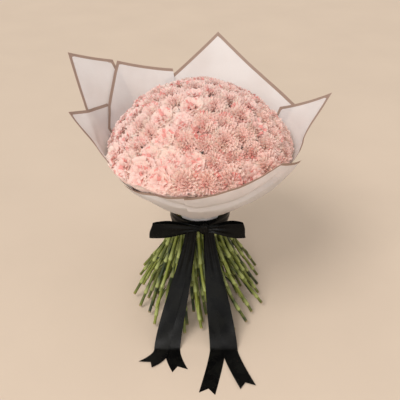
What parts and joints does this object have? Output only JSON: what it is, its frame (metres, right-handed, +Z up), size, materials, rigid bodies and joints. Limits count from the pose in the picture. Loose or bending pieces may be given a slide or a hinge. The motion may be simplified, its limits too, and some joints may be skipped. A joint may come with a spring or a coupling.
{
  "type": "bunch of carnations",
  "caption": "Hand-tied dome of pale pink carnations in layered white paper with a black ribbon bow, standing on its cut stems.",
  "frame": {"origin": "bottom centre of the bounding box, on the surface the stems stand on", "axes": "+Z up along the bunch, the bow faces -Y, +X to the right when the bow is seen from the front"},
  "size_m": [0.6694, 0.7524, 0.6592],
  "materials": {
    "petals": "soft, matt, slightly translucent pink petals",
    "stems": "waxy green stem",
    "leaves": "dark waxy leaf",
    "paper": "matt translucent white with a taupe border",
    "ribbon": "black satin",
    "tie": "raffia"
  },
  "bodies": {
    "root": {"bow_loop_left": "ribbon", "bow_loop_right": "ribbon", "carnation_trio_01": "petals", "carnation_trio_02": "petals", "carnation_trio_03": "petals", "carnation_trio_04": "petals", "carnation_trio_05": "petals", "carnation_trio_06": "petals", "carnation_trio_07": "petals", "carnation_trio_08": "petals", "carnation_trio_09": "petals", "carnation_trio_10": "petals", "carnation_trio_11": "petals", "carnation_trio_12": "petals", "carnation_trio_13": "petals", "carnation_trio_14": "petals", "carnation_trio_15": "petals", "carnation_trio_16": "petals", "carnation_trio_17": "petals", "carnation_trio_18": "petals", "carnation_trio_19": "petals", "carnation_trio_20": "petals", "carnation_trio_21": "petals", "carnation_trio_22": "petals", "carnation_trio_23": "petals", "carnation_trio_24": "petals", "carnation_trio_25": "petals", "carnation_trio_26": "petals", "carnation_trio_27": "petals", "carnation_trio_28": "petals", "carnation_trio_29": "petals", "carnation_trio_30": "petals", "carnation_trio_31": "petals", "carnation_trio_32": "petals", "carnation_trio_33": "petals", "leaf_1": "leaves", "leaf_2": "leaves", "leaf_3": "leaves", "leaf_4": "leaves", "leaf_5": "leaves", "leaf_6": "leaves", "neck_tie": "tie", "ribbon_band": "ribbon", "ribbon_knot": "ribbon", "ribbon_tail_left_inner": "ribbon", "ribbon_tail_left_outer": "ribbon", "ribbon_tail_right_inner": "ribbon", "ribbon_tail_right_outer": "ribbon", "wrap_back": "paper", "wrap_back_left_inner": "paper", "wrap_back_left_outer": "paper", "wrap_collar": "paper", "wrap_front_left": "paper", "wrap_front_right": "paper", "wrap_left": "paper", "wrap_right": "paper"}
  },
  "joints": []
}
